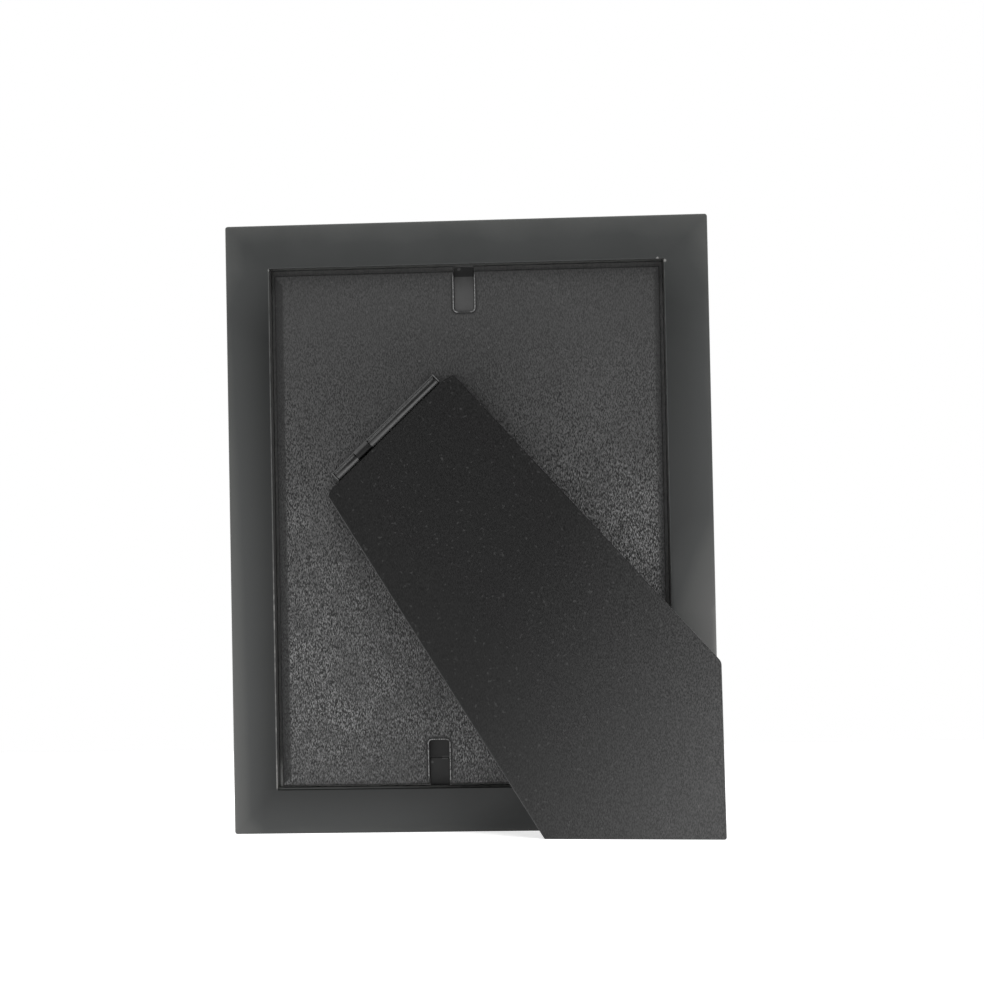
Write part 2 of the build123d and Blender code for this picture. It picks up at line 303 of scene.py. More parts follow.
def lacquer():
    """Satin black lacquer with orange peel and chips, greyed in places by painted light and sheen."""
    material, tree = new_material("lacquer")
    set_inputs(shader_of(tree), Specular_IOR_Level=0.38)
    place = frame_coords(tree)
    along = axes_of(tree, place)
    inward = from_outside(tree, along)
    cloud = noise(tree, place, 0.05, 3.0)
    peel = noise(tree, place, 0.9, 2.0)
    # Painted sheen: greyer towards the outside edge of each rail, as the light falls on its outer part.
    edge = spread(tree, inward, 0.4, 0.0, 0.0, rail_flat)
    edge = combine(tree, "ADD", edge, painted_rail_light(tree, along, inward))
    edge = combine(tree, "ADD", edge, spread(tree, cloud, -0.02, 0.02))
    # Painted light: paler lacquer on the rebate walls lifts the shade in the gap, a little less on the bottom
    # wall.
    in_rebate = band(tree, along["Z"], -4.0, 3.0, 0.5)
    painted_rebate_light = combine(tree, "MULTIPLY", spread(tree, inward, 0.0, 0.6, rail_width - 0.3, rail_width), in_rebate)
    low_end = spread(tree, along["Y"], 0.9, 1.0, -rebate_half_height, 0.7 - rebate_half_height)
    painted_rebate_light = combine(tree, "MULTIPLY", painted_rebate_light, low_end)
    chipped = (
        (-rebate_half_width, rebate_half_height - 0.6, 0.0, 0.75),
        (rebate_half_width - 2.4, rebate_half_height + 0.2, 0.0, 0.75),
        (rebate_half_width + 0.4, rebate_half_height - 0.7, 0.0, 0.85),
    )
    chips = spots(tree, place, chipped, 0.85)
    worn_and_glint = combine(tree, "MAXIMUM", arris_highlight_and_wear(tree, place, along), chips)
    tone = combine(tree, "MAXIMUM", combine(tree, "MAXIMUM", edge, painted_rebate_light), worn_and_glint)
    finish_with(
        tree,
        ramp(
            tree, tone,
            (0.0, (0.0045, 0.0053, 0.0051)), (0.4, (0.038, 0.040, 0.0395)), (0.5, (0.062, 0.064, 0.062)),
            (0.75, (0.1, 0.1, 0.098)), (1.0, (0.34, 0.335, 0.32)),
        ),
        spread(tree, cloud, 0.36, 0.46),
        bump(tree, peel, 0.012),
    )
    return material


def leatherette(name, contrast, shade, tones, depth):
    """Black paper embossed with short upright grain, whose tone is partly painted sparkle.

    The mesh says where it is rubbed, with a painted highlight, and where it is smooth, with painted shade;
    the given shade paints light and shade over the whole.
    """
    dark, light, rubbed_and_glinting = tones
    grain_turn = (0.35, 0.25, 0.1)
    grain_size = (3.3, 0.95, 3.3)
    grain_tone = 0.335
    mean_tone = 0.3
    material, tree = new_material(name)
    set_inputs(shader_of(tree), Specular_IOR_Level=0.25)
    place = frame_coords(tree)
    along = axes_of(tree, place)
    grain = noise(tree, mapped(tree, place, turn=grain_turn, size=grain_size), 1.0, 2.0, 0.6, 0.2)
    patches = spread(tree, noise(tree, place, 0.09, 2.0), 0.85, 1.15, 0.35, 0.65)
    lint = spread(tree, noise(tree, place, 0.65, 1.0), 0.0, 0.14, 0.67, 0.75)
    fine = noise(tree, mapped(tree, place, size=(1.0, 0.7, 1.0)), 4.0, 1.0)
    height = combine(tree, "ADD", grain, combine(tree, "MULTIPLY", fine, 0.25))
    rough_unshaded_share = combine(tree, "SUBTRACT", 1.0, point_mark(tree, "smooth_and_shaded"))
    strength = combine(tree, "MULTIPLY", contrast(tree, along), rough_unshaded_share)
    strength = combine(tree, "MULTIPLY", strength, patches)
    tone = combine(tree, "MULTIPLY", spread(tree, grain, -grain_tone, grain_tone, 0.4, 0.6), strength)
    # The given shade is painted light and shade.
    tone = combine(tree, "MULTIPLY", combine(tree, "ADD", tone, mean_tone), shade(tree, along))
    # Smooth marks darken it: painted shade on the backing's margins and beside the notch rims.
    tone = combine(tree, "MULTIPLY", tone, rough_unshaded_share)
    # Rubbed marks are partly painted highlights, on the notch rims and the leg's longest edge.
    rub_and_glint = combine(tree, "MULTIPLY", point_mark(tree, "worn_and_glint"), spread(tree, fine, 0.3, 0.6))
    tone = combine(tree, "ADD", tone, combine(tree, "ADD", rub_and_glint, lint))
    gloss = combine(tree, "MULTIPLY", rough_unshaded_share, 0.4)
    finish_with(
        tree,
        ramp(tree, tone, (0.0, grey(dark)), (0.6, grey(light)), (1.0, grey(rubbed_and_glinting))),
        combine(tree, "SUBTRACT", spread(tree, fine, 0.78, 0.9), gloss),
        bump(tree, combine(tree, "MULTIPLY", height, strength), depth),
    )
    return material


def backing_contrast(tree, along):
    """The grain of the backing shows most in its lower part, but for its bottom edge, partly as painted sparkle.
    """
    above = spread(tree, along["Y"], 1.0, 0.3, 20.0, 80.0)
    return combine(tree, "MULTIPLY", above, spread(tree, along["Y"], 0.75, 1.0, -96.0, -80.0))


def patch(tree, along, centre, at_centre, near, far):
    """A value round a centre on the back, which comes to one further out."""
    away = [combine(tree, "SUBTRACT", along[axis], place) for axis, place in zip("XY", centre)]
    squares = [combine(tree, "MULTIPLY", part, part) for part in away]
    distance = combine(tree, "SQRT", combine(tree, "ADD", *squares))
    return spread(tree, distance, at_centre, 1.0, near, far)


def backing_painted_shade(tree, along):
    """Painted shade: the backing darker to its top and by the hinge, lighter by the right rail and lower notch."""
    shade = spread(tree, along["Y"], 1.2, 0.9, -100.0, 70.0)
    # Painted shadow round the top of the leg and beside the hinge; painted light by the right rail and lower
    # notch, where the leg's shadow falls.
    for spot in (
        patch(tree, along, (5.0, 55.0), 0.7, 6.0, 46.0),
        patch(tree, along, (-32.0, 40.0), 0.64, 4.0, 52.0),
        patch(tree, along, (74.0, -8.0), 1.16, 8.0, 36.0),
        patch(tree, along, (2.0, -90.0), 1.2, 4.0, 24.0),
    ):
        shade = combine(tree, "MULTIPLY", shade, spot)
    return shade


def leg_contrast(tree, along):
    """The grain of the leg is pressed flatter than that of the backing."""
    return spread(tree, along["Y"], 0.32, 0.5, -95.0, -20.0)


def leg_painted_shade(tree, along):
    """Painted light on the leg: lighter towards the corner of its foot, darkest by the hinge."""
    darkest = 0.19
    painted_lift = 1.18
    across = combine(tree, "MULTIPLY", along["X"], 0.9)
    down = combine(tree, "MULTIPLY", along["Y"], 0.5)
    by_foot = spread(tree, combine(tree, "SUBTRACT", across, down), 0.0, 1.0, 22.0, 124.0)
    painted_light = combine(tree, "MULTIPLY", combine(tree, "POWER", by_foot, 1.7), painted_lift)
    return combine(tree, "ADD", painted_light, darkest)


def tip_painted_light(tree, along):
    """Painted light on the board just past the tip of the lower tab, over its shade, most of it at the right."""
    bend = joint_place("bottom_tab_bend")
    past_tip = band(tree, along["Y"], bend.y + bottom_tab_length + 0.35, 0.25, 0.25)
    all_along = combine(tree, "MULTIPLY", band(tree, along["X"], bend.x, tab_width / 2, 0.5), 0.35)
    at_right = band(tree, along["X"], bend.x + 2.4, 1.2, 0.8)
    return combine(tree, "MULTIPLY", past_tip, combine(tree, "MAXIMUM", all_along, at_right))


def black_board():
    """Dyed board with a fibrous surface, greyed by painted light along its rim, low down and by the lower tab."""
    material, tree = new_material("backing_ply")
    place = frame_coords(tree)
    fibres = noise(tree, mapped(tree, place, size=(1.0, 0.4, 1.0)), 1.6, 4.0, 0.7)
    along = axes_of(tree, place)
    from_side = combine(tree, "SUBTRACT", rebate_half_width, combine(tree, "ABSOLUTE", along["X"]))
    from_end = combine(tree, "SUBTRACT", rebate_half_height, combine(tree, "ABSOLUTE", along["Y"]))
    # Painted light: the rim is greyer where it shows in the shaded gap round the backing, most of all at the
    # bottom.
    rim = spread(tree, combine(tree, "MINIMUM", from_side, from_end), 1.0, 0.0, 2.4, 3.4)
    painted_low_light = spread(tree, along["Y"], 1.1, 0.2, -101.0, -90.0)
    tone = combine(tree, "ADD", combine(tree, "MULTIPLY", rim, painted_low_light), 0.1)
    tone = combine(tree, "ADD", tone, combine(tree, "MULTIPLY", tip_painted_light(tree, along), 0.18))
    tone = combine(tree, "MULTIPLY", spread(tree, fibres, 0.6, 1.0), tone)
    finish_with(
        tree,
        ramp(tree, tone, (0.0, grey(0.012)), (0.1, grey(0.03)), (1.0, (0.4, 0.4, 0.395))),
        spread(tree, fibres, 0.8, 0.95),
        bump(tree, fibres, 0.05),
    )
    return material


def painted_steel(name, dark, light, rough, worn_spots):
    """Thin sheet steel under black paint with faint rolling lines; the mesh marks painted shadow on it."""
    material, tree = new_material(name)
    set_inputs(shader_of(tree), Specular_IOR_Level=0.3)
    place = frame_coords(tree)
    lines = noise(tree, mapped(tree, place, size=(2.0, 0.25, 2.0)), 1.5, 3.0)
    cloud = noise(tree, place, 0.35, 3.0)
    tone = combine(tree, "SUBTRACT", cloud, point_mark(tree, "shadowed"))
    tone = combine(tree, "MAXIMUM", tone, spots(tree, place, worn_spots, 1.0))
    finish_with(
        tree,
        ramp(tree, tone, (0.0, grey(0.018)), (0.3, grey(dark)), (0.75, grey(light)), (1.0, grey(0.07))),
        spread(tree, cloud, rough - 0.05, rough + 0.08),
        bump(tree, lines, 0.01),
    )
    return material


def worn_tab_spots():
    """Where the paint of the two tabs is rubbed: by the bend of the top one and at the tip of the other."""
    top = joint_place("top_tab_bend")
    near_bend = [(top.x - 1.9, top.y - 0.6, top.z + tab_sheet / 2, 0.7)]
    bottom = joint_place("bottom_tab_bend")
    tip = bottom.y + bottom_tab_length
    face = bottom.z + tab_sheet / 2
    near_tip = [(bottom.x + across, tip, face, 0.7) for across in (1.3, 1.9, 2.5, 3.1)]
    near_tip.append((bottom.x - 2.9, tip - 1.6, face, 0.8))
    return near_bend, near_tip


def hinge_coords(tree, place):
    """Millimetres from the middle of the hinge: X along it, Y across it to the upper left."""
    centre = joint_place("leg_swing")
    axis = to_photo_axes.to_3x3() @ Vector(joints["leg_swing"]["axis"])
    angle = -math.atan2(axis.y, axis.x)
    return axes_of(tree, mapped(tree, place, -(Matrix.Rotation(angle, 3, "Z") @ centre), (0, 0, angle)))


def barrel_painted_glint(tree, along):
    """Painted highlights on both sides of the barrel's seam, and painted shadow in the groove beside the leg."""
    seam = 0.4
    away = combine(tree, "ABSOLUTE", combine(tree, "SUBTRACT", along["Y"], seam))
    rubbed_and_glinting = spread(tree, away, 0.0, 1.0, 0.4, 1.1)
    return combine(tree, "MULTIPLY", rubbed_and_glinting, spread(tree, along["Y"], 0.0, 1.0, -1.6, -1.2))


def web_glint_and_rub(tree, along):
    """The backing leaf is rubbed, with painted highlights, along the top of its web and on its ears."""
    ear_inside = hinge_length / 2 - hinge_sheet - 0.1
    on_web = spread(tree, along["Y"], 0.0, 0.7, 0.8, 1.4)
    from_middle = combine(tree, "ABSOLUTE", along["X"])
    return combine(tree, "MAXIMUM", on_web, spread(tree, from_middle, 0.0, 1.0, ear_inside, ear_inside + 0.1))


def blackened_steel(name, dark, light, gloss, rub_and_glint):
    """Black finish of the hinge with fine scratches, grey where the given mark paints rubbing and highlights."""
    material, tree = new_material(name)
    set_inputs(shader_of(tree), Specular_IOR_Level=gloss)
    place = frame_coords(tree)
    cloud = noise(tree, place, 0.3, 3.0, 0.6)
    scratches = noise(tree, mapped(tree, place, size=(0.7, 0.7, 2.0)), 1.4, 3.0)
    wobble = noise(tree, place, 0.5, 1.0)
    rubbed_and_glinting = combine(tree, "MULTIPLY", rub_and_glint(tree, hinge_coords(tree, place)), spread(tree, wobble, 0.8, 1.0))
    finish_with(
        tree,
        ramp(tree, rubbed_and_glinting, (0.0, grey(dark)), (1.0, grey(light))),
        spread(tree, cloud, 0.42, 0.3),
        bump(tree, scratches, 0.03),
    )
    return material


def bright_steel():
    """Bare steel of the corner nails."""
    material, tree = new_material("nail_steel")
    lines = noise(tree, mapped(tree, frame_coords(tree), size=(1.0, 6.0, 1.0)), 0.8, 2.0)
    set_inputs(shader_of(tree), Metallic=1.0)
    finish_with(
        tree,
        ramp(tree, lines, (0.3, grey(0.4)), (0.7, grey(0.52))),
        spread(tree, lines, 0.25, 0.4),
        bump(tree, lines, 0.01),
    )
    return material


def clear_glass():
    """Float glass that lets light through to the print."""
    material, tree = new_material("glass")
    shader = shader_of(tree)
    set_inputs(shader, IOR=1.5, Transmission_Weight=1.0, Base_Color=(0.96, 0.985, 0.975, 1.0))
    smears = noise(tree, frame_coords(tree), 0.03, 3.0)
    tree.links.new(spread(tree, smears, 0.0, 0.025), shader.inputs["Roughness"])
    path = tree.nodes.new("ShaderNodeLightPath")
    clear = tree.nodes.new("ShaderNodeBsdfTransparent")
    both = tree.nodes.new("ShaderNodeMixShader")
    tree.links.new(path.outputs["Is Shadow Ray"], both.inputs["Fac"])
    tree.links.new(shader.outputs["BSDF"], both.inputs[1])
    tree.links.new(clear.outputs["BSDF"], both.inputs[2])
    output = next(node for node in tree.nodes if node.type == "OUTPUT_MATERIAL")
    tree.links.new(both.outputs["Shader"], output.inputs["Surface"])
    return material


def plain_print():
    """Photo paper with soft bands of tone from bottom to top."""
    material, tree = new_material("print_paper")
    place = frame_coords(tree)
    cloud = noise(tree, mapped(tree, place, size=(0.4, 1.0, 1.0)), 0.03, 4.0)
    height = combine(tree, "ADD", axes_of(tree, place)["Y"], combine(tree, "MULTIPLY", cloud, 40.0))
    tone = spread(tree, height, 0.0, 1.0, -100.0, 120.0)
    colour = ramp(
        tree, tone,
        (0.1, (0.30, 0.33, 0.27)), (0.38, (0.42, 0.44, 0.35)), (0.42, (0.68, 0.70, 0.68)),
        (0.75, (0.62, 0.70, 0.76)), (1.0, (0.50, 0.62, 0.74)),
    )
    grain = noise(tree, place, 6.0, 2.0)
    finish_with(tree, colour, spread(tree, grain, 0.45, 0.55), bump(tree, grain, 0.004))
    return material


def grey_card():
    """Uncoated filler card."""
    material, tree = new_material("grey_card")
    fibres = noise(tree, frame_coords(tree), 1.2, 4.0, 0.7)
    finish_with(
        tree,
        ramp(tree, fibres, (0.3, (0.30, 0.285, 0.26)), (0.7, (0.40, 0.38, 0.35))),
        spread(tree, fibres, 0.85, 0.95),
        bump(tree, fibres, 0.04),
    )
    return material


# Mesh helpers

def face_outline(node, facing, place):
    """The boundary of the flat side of a node that faces the given way, in order.

    The points are in millimetres along the axes of the given place.
    """
    same_way = 0.999
    mesh = bmesh.new()
    mesh.from_mesh(cad[node].data)
    bmesh.ops.remove_doubles(mesh, verts=mesh.verts, dist=same_point * mm)
    side = [face for face in mesh.faces if face.normal.dot(facing) > same_way]
    edges = {edge for face in side for edge in face.edges}
    border = [edge for edge in edges if sum(face in side for face in edge.link_faces) == 1]
    border.sort(key=lambda edge: edge.index)
    loops = []
    while border:
        edge = border.pop()
        loop = [edge.verts[0], edge.verts[1]]
        while loop[-1] is not loop[0]:
            edge = next(e for e in border if loop[-1] in e.verts)
            border.remove(edge)
            loop.append(edge.other_vert(loop[-1]))
        loops.append([vert.co.copy() for vert in loop[:-1]])
    mesh.free()
    widest = max(loops, key=lambda loop: max((point - loop[0]).length for point in loop))
    return [place.inverted() @ point / mm for point in widest]


def rounded_corners(points):
    """The corners of a flat closed outline, in turning order.

    Each is (sharp point, way in, way out, turn, radius).
    """
    shortest_side = 1.2
    ahead = points[1:] + points[:1]
    if sum(a.x * b.y - b.x * a.y for a, b in zip(points, ahead)) < 0:
        points = points[::-1]
        ahead = points[1:] + points[:1]
    sides = [(a, b) for a, b in zip(points, ahead) if (b - a).length > shortest_side]
    corners = []
    for (start, leave), (meet, end) in zip(sides, sides[1:] + sides[:1]):
        before = (leave - start).normalized()
        after = (end - meet).normalized()
        sine = before.cross(after).z
        turn = math.atan2(sine, before.dot(after))
        run = (meet - leave).cross(after).z / sine
        corners.append((leave + before * run, before, after, turn, run / math.tan(abs(turn) / 2)))
    return corners


def corner_arc(corner, inset):
    """Points round one corner of an outline that is moved inwards."""
    steps = 6
    sharp, before, after, turn, radius = corner
    inward = [Vector((-way.y, way.x, 0)) for way in (before, after)]
    sharp = sharp + (inward[0] + inward[1]) * inset / (1 + inward[0].dot(inward[1]))
    side = math.copysign(1, turn)
    radius = max(0.0, radius - side * inset)
    centre = sharp - before * radius * math.tan(abs(turn) / 2) + inward[0] * radius * side
    turns = [Matrix.Rotation(turn * index / steps, 3, "Z") for index in range(steps + 1)]
    return [centre - part @ inward[0] * radius * side for part in turns]


def inset_ring(corners, inset):
    """The outline moved inwards, with the same number of points for every inset."""
    longest_step = 1.0
    arcs = [corner_arc(corner, inset) for corner in corners]
    ring = []
    for index, arc in enumerate(arcs):
        following = (index + 1) % len(arcs)
        count = math.ceil((corners[following][0] - corners[index][0]).length / longest_step)
        ring += arc
        ring += [arc[-1].lerp(arcs[following][0], part / count) for part in range(1, count)]
    return ring


def new_piece(name, mesh, material):
    """Makes a piece from a bmesh, smooth but for its sharp edges."""
    sharp_angle = 50.0
    bmesh.ops.recalc_face_normals(mesh, faces=mesh.faces)
    data = bpy.data.meshes.new(name)
    mesh.to_mesh(data)
    mesh.free()
    data.shade_smooth()
    data.set_sharp_from_angle(angle=math.radians(sharp_angle))
    data.materials.append(material)
    piece = bpy.data.objects.new(name, data)
    bpy.context.scene.collection.objects.link(piece)
    return piece


def join_rings(mesh, rings):
    """Faces between rings of the same number of points, from the first to the last."""
    for low, high in zip(rings, rings[1:]):
        for index in range(len(low)):
            mesh.faces.new((low[index - 1], low[index], high[index], high[index - 1]))


def sheet_piece(name, place, corners, insets, profiles, material):
    """A closed sheet over a flat outline, built of one ring for each inset from underside to top.

    Each point of the outline has a profile with one (height, rub with painted glint, smoothness with painted
    shade) for each inset. The mesh carries the last two for its material.
    """
    mesh = bmesh.new()
    worn_and_glint_mark = mesh.verts.layers.float.new("worn_and_glint")
    smooth_and_shaded_mark = mesh.verts.layers.float.new("smooth_and_shaded")
    rings = []
    for level, inset in enumerate(insets):
        ring = []
        for point, profile in zip(inset_ring(corners, inset), profiles):
            height, worn_and_glint, smooth_and_shaded = profile[level]
            vert = mesh.verts.new(place @ ((point + Vector((0, 0, height))) * mm))
            vert[worn_and_glint_mark] = worn_and_glint
            vert[smooth_and_shaded_mark] = smooth_and_shaded
            ring.append(vert)
        rings.append(ring)
    join_rings(mesh, rings)
    for ring in (rings[0], rings[-1]):
        mesh.faces.new(ring)
    bmesh.ops.remove_doubles(mesh, verts=mesh.verts, dist=same_point * mm)
    bmesh.ops.triangulate(mesh, faces=[face for face in mesh.faces if len(face.verts) > 4])
    return new_piece(name, mesh, material)


def blend_profiles(first, second, share):
    """A profile between two others."""
    return [[a + (b - a) * share for a, b in zip(*pair)] for pair in zip(first, second)]


# Pieces

def backing_cover(material):
    """Embossed paper turned over the edges of the backing, with a rubbed rim round the punched notches.

    The rims carry a painted highlight, and the margins and the board beside the rims painted shade.
    """
    paper_low = -1.9
    insets = [-0.1, -0.1, -0.04, 0.1, 0.28, 0.5, 0.9, 1.6, 2.8, 3.6]
    turned = (paper_low, -0.4, -0.16, -0.04, 0.0, 0.0, 0.0, 0.0, 0.0, 0.0)
    # Smooth marks on the turned edges are painted shade along the margins, where the rails shade the backing.
    left_smooth_shaded = (0.6, 0.6, 0.6, 0.55, 0.55, 0.55, 0.55, 0.5, 0.45, 0.0)
    right_smooth_shaded = (0.6, 0.6, 0.6, 0.55, 0.55, 0.5, 0.45, 0.35, 0.0, 0.0)
    end_smooth_shaded = (0.2, 0.2, 0.2, 0.1, 0.1, 0.05, 0.0, 0.0, 0.0, 0.0)
    left_edge, right_edge, end_edge = (
        [(height, 0.0, smooth_and_shaded) for height, smooth_and_shaded in zip(turned, marks)]
        for marks in (left_smooth_shaded, right_smooth_shaded, end_smooth_shaded)
    )
    # Punched rim: rubbed, with a painted highlight on its crest and painted shadow just beyond it on the board.
    punched = [
        (paper_low, 0.0, 0.7), (-0.1, 0.8, 0.0), (0.05, 1.0, 0.0), (0.1, 1.0, 0.0), (0.05, 0.9, 0.0),
        (-0.08, 0.0, 0.9), (0.0, 0.0, 0.3), (0.0, 0.0, 0.0), (0.0, 0.0, 0.0), (0.0, 0.0, 0.0),
    ]
    rim_run = 2.0
    unmarked_half = tab_width / 2 - 1.5
    top_tab_across = joint_place("top_tab_bend").x
    outline = face_outline("backing_cover_paper", out, photo_axes)
    half_width = max(point.x for point in outline)
    top = max(point.y for point in outline)
    bottom = min(point.y for point in outline)
    corners = rounded_corners(outline)
    profiles = []
    for point in inset_ring(corners, 0.0):
        to_side = half_width - abs(point.x)
        to_end = min(top - point.y, point.y - bottom)
        in_notch = min(1.0, max(0.0, min(to_side, to_end)) / rim_run)
        side_edge = left_edge if point.x < 0 else right_edge
        profile = blend_profiles(side_edge if to_side < to_end else end_edge, punched, in_notch)
        if point.y > 0 and abs(point.x - top_tab_across) < unmarked_half:
            profile = [(height, 0.0, smooth_and_shaded) for height, worn_and_glint, smooth_and_shaded in profile]
        profiles.append(profile)
    piece = sheet_piece("backing_cover", photo_axes, corners, insets, profiles, material)
    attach(piece, "frame")
    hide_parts("backing_cover_paper")


def inner_ply(material):
    """The inner ply of the backing, with soft edges that fill the rebate."""
    edge_room = 0.1
    soft_edge = 0.1
    thick = 1.5
    corners = rounded_corners(face_outline("backing_inner_ply", out, photo_axes))
    spare = rebate_half_width - edge_room - max(abs(corner[0].x) for corner in corners)
    insets = [soft_edge - spare, -spare, -spare, soft_edge - spare]
    profile = [(height, 0.0, 0.0) for height in (-thick, soft_edge - thick, -soft_edge, 0.0)]
    count = len(inset_ring(corners, 0.0))
    piece = sheet_piece("backing_ply_filled", photo_axes, corners, insets, [profile] * count, material)
    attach(piece, "frame")
    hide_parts("backing_inner_ply")


def leg_place():
    """Axes of the open leg: x along the hinge, y from the foot up to the hinge, z out of its outer side."""
    along = Vector(joints["leg_swing"]["axis"]).normalized()
    outward = Matrix.Rotation(math.radians(-leg_open), 3, along) @ out
    place = Matrix((along, outward.cross(along), outward)).transposed().to_4x4()
    place.translation = Vector(joints["leg_swing"]["pos_m"])
    return place


def wrapped_leg(material):
    """The leg in paper turned round its edges, with a lining inside.

    Its longest side is rubbed and carries a painted highlight, strongest by the hinge.
    """
    lining_thick = 0.15
    lining_inset = 3.2
    lining_smooth = 0.3
    lining_bevel_width = 0.05
    lining_bevel_height = 0.02
    least_glint_and_rub = 0.5
    hinge_glint_and_rub = 1.25
    glint_and_rub_length = 200.0
    near_side = 0.1
    # Round the edge, from its middle to the flat: how far in, and how far below the flat
    edge = [(0.0, 0.35), (0.03, 0.18), (0.12, 0.05), (0.26, 0.0), (0.5, 0.0), (3.0, 0.0)]
    rubbed_and_glinting = (0.0, 0.5, 0.9, 0.6, 0.0, 0.0)
    place = leg_place()
    outward = place.col[2].to_3d()
    outline = face_outline("leg_cover_paper", outward, place)
    lining = face_outline("leg_lining_paper", -outward, place)
    thick = outline[0].z - lining[0].z
    corners = rounded_corners(outline)
    start, end = max(zip(outline, outline[1:] + outline[:1]), key=lambda side: (side[1] - side[0]).length)
    along = (end - start).normalized()
    profiles = []
    for point in inset_ring(corners, 0.0):
        on_longest = abs(along.cross(point - start).z) < near_side
        under = [(lining_thick + depth - thick, 0.0, 0.0) for inset, depth in reversed(edge)]
        # Rub with painted highlight along the longest side, fading from the hinge towards the foot.
        rub_and_glint = max(least_glint_and_rub, hinge_glint_and_rub + point.y / glint_and_rub_length) if on_longest else 0.0
        top = [(-depth, worn_and_glint * rub_and_glint, 0.0) for (inset, depth), worn_and_glint in zip(edge, rubbed_and_glinting)]
        profiles.append(under + top)
    insets = [inset for inset, depth in reversed(edge)] + [inset for inset, depth in edge]
    leg = sheet_piece("leg_wrapped", place, corners, insets, profiles, material)
    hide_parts("leg_board", "leg_cover_paper")
    sheet_heights = (lining_thick - thick, lining_bevel_height - thick, -thick)
    sheet_profile = [(height, 0.0, lining_smooth) for height in sheet_heights]
    sheet_insets = [lining_inset, lining_inset, lining_inset + lining_bevel_width]
    sheet = sheet_piece("leg_lining", place, corners, sheet_insets, [sheet_profile] * len(profiles), material)
    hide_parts("leg_lining_paper")
    for piece in (leg, sheet):
        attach(piece, "leg")


def dress(name, material, edge=0.0):
    """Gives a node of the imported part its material, and rounds its edges where a width is given."""
    sharp_angle = 40.0
    node = cad[name]
    node.data.materials.clear()
    node.data.materials.append(material)
    if edge:
        joined = node.modifiers.new("joined faces", "WELD")
        joined.merge_threshold = same_point * mm
        rounded = node.modifiers.new("rounded edges", "BEVEL")
        rounded.width = edge * mm
        rounded.segments = 2
        rounded.limit_method = "ANGLE"
        rounded.angle_limit = math.radians(sharp_angle)
        rounded.harden_normals = True


def formed_top_tab(material):
    """The top tab as a strip of sheet that rises from its bend, is creased and then lies flat."""
    rise = 0.4
    crease = 3.7
    half = tab_width / 2 + tab_edge
    thick = tab_sheet / 2
    # Along the tab: how far from the bend, half width, height and how much painted shadow
    # The part rising from the bend carries painted shadow, where the top rail shades it.
    stations = [(0.0, half, 0.0, 1.0), (crease - 0.1, half, rise - 0.02, 1.0)]
    stations += [(crease, half, rise, 0.0), (top_tab_length / 2, half, rise, 0.0)]
    for angle in (0, 22, 45, 67, 85):
        turn = math.radians(angle)
        reach = top_tab_length - tab_corner * (1 - math.sin(turn))
        stations.append((reach, half - tab_corner * (1 - math.cos(turn)), rise, 0.0))
    along = Vector(joints["top_tab_bend"]["axis"]).normalized()
    place = Matrix((along, -up, out)).transposed().to_4x4()
    place.translation = Vector(joints["top_tab_bend"]["pos_m"])
    mesh = bmesh.new()
    shadowed_mark = mesh.verts.layers.float.new("shadowed")
    rings = []
    for y, width, z, shadowed in stations:
        flat = width - tab_edge
        section = [(-width, z), (-flat, z + thick), (flat, z + thick)]
        section += [(width, z), (flat, z - thick), (-flat, z - thick)]
        ring = [mesh.verts.new(place @ (Vector((x, y, height)) * mm)) for x, height in section]
        for vert in ring:
            vert[shadowed_mark] = shadowed
        rings.append(ring)
    join_rings(mesh, rings)
    mesh.faces.new(rings[0])
    mesh.faces.new(rings[-1])
    piece = new_piece("top_tab_formed", mesh, material)
    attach(piece, "top_tab")
    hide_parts("top_tab_tongue")


# Stage

white = (1.0, 1.0, 1.0, 1.0)


def seen_rays(tree):
    """One for rays from the camera, from gloss and through glass, and zero for others."""
    path = tree.nodes.new("ShaderNodeLightPath")
    seen = combine(tree, "MAXIMUM", path.outputs["Is Camera Ray"], path.outputs["Is Glossy Ray"])
    return combine(tree, "MAXIMUM", seen, path.outputs["Is Transmission Ray"])


def stage_sheet(name, corners, faces, material):
    """A flat or folded sheet that belongs to the studio."""
    mesh = bpy.data.meshes.new(name)
    mesh.from_pydata(corners, [], faces)
    mesh.materials.append(material)
    sheet = bpy.data.objects.new(name, mesh)
    bpy.context.scene.collection.objects.link(sheet)
    return sheet


def pale_floor():
    """A white floor that keeps shadows; the camera, mirrors and glass see it a little lighter."""
    reach = 6.0
    lightening = 0.65
    material, tree = new_material("floor")
    shader = shader_of(tree)
    set_inputs(shader, Base_Color=(*grey(0.8), 1.0), Roughness=0.9, Emission_Color=white)
    lift = combine(tree, "MULTIPLY", seen_rays(tree), lightening)
    tree.links.new(lift, shader.inputs["Emission Strength"])
    corners = [(-reach, -reach, 0), (reach, -reach, 0), (reach, reach, 0), (-reach, reach, 0)]
    stage_sheet("floor", corners, [(0, 1, 2, 3)], material)


def dark_canopy():
    """A dark sheet behind and above the camera, seen only as a reflection in the back of the frame."""
    half_width = 2.4
    profile = [(1.25, 0.2), (1.25, 1.3), (0.8, 2.0), (-0.4, 2.2)]
    material, tree = new_material("canopy")
    set_inputs(shader_of(tree), Base_Color=(*grey(0.02), 1.0), Roughness=1.0, Specular_IOR_Level=0.0)
    corners = [(x, y, z) for y, z in profile for x in (-half_width, half_width)]
    faces = [(2 * index, 2 * index + 1, 2 * index + 3, 2 * index + 2) for index in range(len(profile) - 1)]
    canopy = stage_sheet("canopy", corners, faces, material)
    canopy.visible_camera = False
    canopy.visible_diffuse = False
    canopy.visible_shadow = False


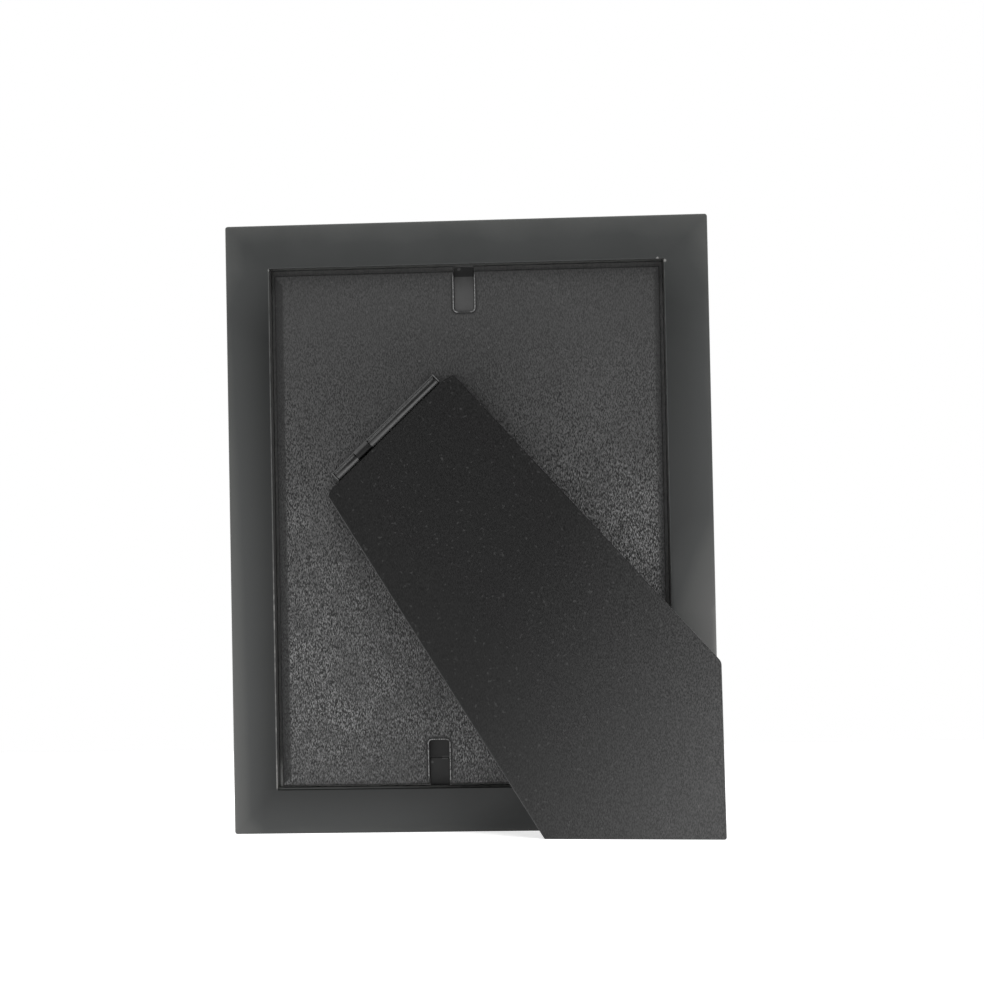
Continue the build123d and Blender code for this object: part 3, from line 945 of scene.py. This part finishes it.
def surround():
    """A white surround for the camera, mirrors and glass, and a dimmer one for other light."""
    world = bpy.data.worlds.new("surround")
    bpy.context.scene.world = world
    world.use_nodes = True
    tree = world.node_tree
    fill = next(node for node in tree.nodes if node.type == "BACKGROUND")
    set_inputs(fill, Color=white, Strength=0.6)
    seen = tree.nodes.new("ShaderNodeBackground")
    set_inputs(seen, Color=white, Strength=1.0)
    both = tree.nodes.new("ShaderNodeMixShader")
    tree.links.new(seen_rays(tree), both.inputs["Fac"])
    tree.links.new(fill.outputs["Background"], both.inputs[1])
    tree.links.new(seen.outputs["Background"], both.inputs[2])
    output = next(node for node in tree.nodes if node.type == "OUTPUT_WORLD")
    tree.links.new(both.outputs["Shader"], output.inputs["Surface"])


def soft_light(name, place, size, power):
    """A round soft light, given in metres along the photo axes, turned to the frame."""
    light = bpy.data.lights.new(name, "AREA")
    light.shape = "DISK"
    light.size = size
    light.energy = power
    lamp = bpy.data.objects.new(name, light)
    bpy.context.scene.collection.objects.link(lamp)
    lamp.location = photo_axes @ Vector(place)
    lamp.rotation_mode = "QUATERNION"
    lamp.rotation_quaternion = (lamp.location - middle).to_track_quat("Z", "Y")
    lamp.visible_glossy = False


bpy.context.scene.view_settings.view_transform = "Standard"
set_camera()
pale_floor()
dark_canopy()
surround()
soft_light("key", place=(0.0, 1.15, 0.35), size=0.8, power=16.0)
black_lacquer = lacquer()
board = black_board()
top_spots, bottom_spots = worn_tab_spots()
tab_steel = painted_steel("tab_steel", dark=0.055, light=0.065, rough=0.42, worn_spots=top_spots)
# The lower tab's darker copy of the tab paint is painted shade, as the tab lies shaded in its notch.
shaded_tab_steel = painted_steel("tab_steel_painted_shade", dark=0.018, light=0.024, rough=0.6, worn_spots=bottom_spots)
barrel_steel = blackened_steel("hinge_steel", dark=0.014, light=0.11, gloss=0.5, rub_and_glint=barrel_painted_glint)
# The web's darker black is painted shadow beside the barrel; its paint is also less glossy.
shaded_web_steel = blackened_steel("hinge_steel_painted_shade", dark=0.005, light=0.095, gloss=0.2, rub_and_glint=web_glint_and_rub)
cover_tones = (0.004, 0.095, 0.4)
cover_paper = leatherette("cover_paper", backing_contrast, backing_painted_shade, cover_tones, depth=0.08)
leg_tones = (0.004, 0.085, 0.2)
leg_paper = leatherette("leg_paper", leg_contrast, leg_painted_shade, leg_tones, depth=0.06)
for rail in ("top_rail", "bottom_rail", "left_rail", "right_rail"):
    dress(rail, black_lacquer)
dress("corner_v_nails", bright_steel())
dress("glass_pane", clear_glass())
dress("photo_print", plain_print())
dress("filler_card", grey_card())
dress("backing_outer_ply", board)
inner_ply(board)
dress("top_tab_root", tab_steel, tab_edge)
for tab in ("bottom_tab_root", "bottom_tab_tongue"):
    dress(tab, shaded_tab_steel, tab_edge)
dress("hinge_backing_leaf", shaded_web_steel, hinge_edge)
for leaf in ("hinge_pin", "hinge_leg_leaf"):
    dress(leaf, barrel_steel, hinge_edge)
backing_cover(cover_paper)
wrapped_leg(leg_paper)
formed_top_tab(tab_steel)
